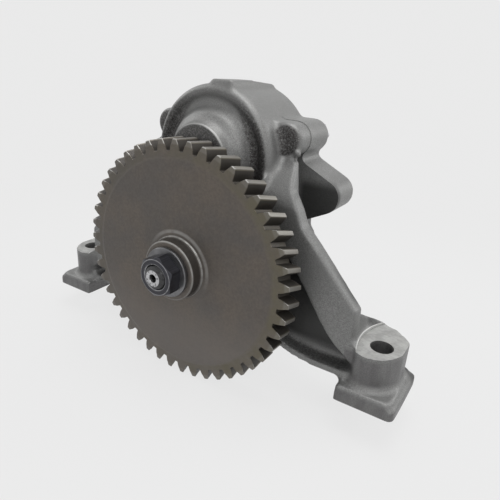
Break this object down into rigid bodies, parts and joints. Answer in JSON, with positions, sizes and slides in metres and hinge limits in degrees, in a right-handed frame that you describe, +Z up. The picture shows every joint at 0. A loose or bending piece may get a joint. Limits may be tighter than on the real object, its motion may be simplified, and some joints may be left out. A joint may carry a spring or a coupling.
{
  "type": "gear oil pump",
  "caption": "Engine gear oil pump in a cast-iron housing on a two-footed bridge bracket, driven by a large helical gear, with a spring-loaded relief valve.",
  "frame": {"origin": "on the bottom plane of the two feet, midway between the two foot bolt holes", "axes": "+X along the line of the feet, -Y towards the helical drive gear, +Z up from the feet"},
  "size_m": [0.2696, 0.1115, 0.1796],
  "materials": {
    "casting": "sandy as cast, milled on the feet",
    "gear_steel": "oiled, dull grey-brown",
    "ground_steel": "ground",
    "nut_steel": "blued",
    "washer_steel": "satin",
    "bolt_steel": "zinc plated, aged",
    "bronze": "bored",
    "seal_copper": "soft copper",
    "spring_steel": "dark drawn wire"
  },
  "bodies": {
    "casting": {"pump_body": "casting", "rear_housing": "casting", "drive_bush_front": "bronze", "drive_bush_rear": "bronze", "driven_bush_front": "bronze", "driven_bush_rear": "bronze", "drive_bore_cap": "washer_steel", "driven_bore_cap": "washer_steel", "cover_bolts": "bolt_steel", "cover_washers": "washer_steel", "dowel_pins": "ground_steel", "relief_plug": "bolt_steel", "relief_seal": "seal_copper", "relief_spring": "spring_steel"},
    "drive_train": {"drive_shaft": "ground_steel", "gear_key": "ground_steel", "rotor_key": "ground_steel", "drive_gear": "gear_steel", "pump_driving_gear": "ground_steel", "gear_washer": "washer_steel", "gear_nut": "nut_steel"},
    "driven_train": {"driven_shaft": "ground_steel", "pump_driven_gear": "ground_steel"},
    "relief_valve": {"relief_piston": "ground_steel"}
  },
  "joints": [
    {"name": "drive_spin", "type": "hinge", "parent": "casting", "child": "drive_train", "pos_m": [0, 0, 0.056], "axis": [0, 1, 0], "continuous": true},
    {"name": "driven_spin", "type": "hinge", "parent": "casting", "child": "driven_train", "pos_m": [0, 0, 0.118], "axis": [0, 1, 0], "continuous": true},
    {"name": "relief_slide", "type": "slide", "parent": "casting", "child": "relief_valve", "axis": [-1, 0, 0], "range_m": [0, 0.008], "stiffness_N_per_m": 6000, "springref_m": -0.004, "deforming": ["relief_spring"]}
  ],
  "couplings": [
    {"joint": "driven_spin", "follows": "drive_spin", "ratio": -1}
  ]
}
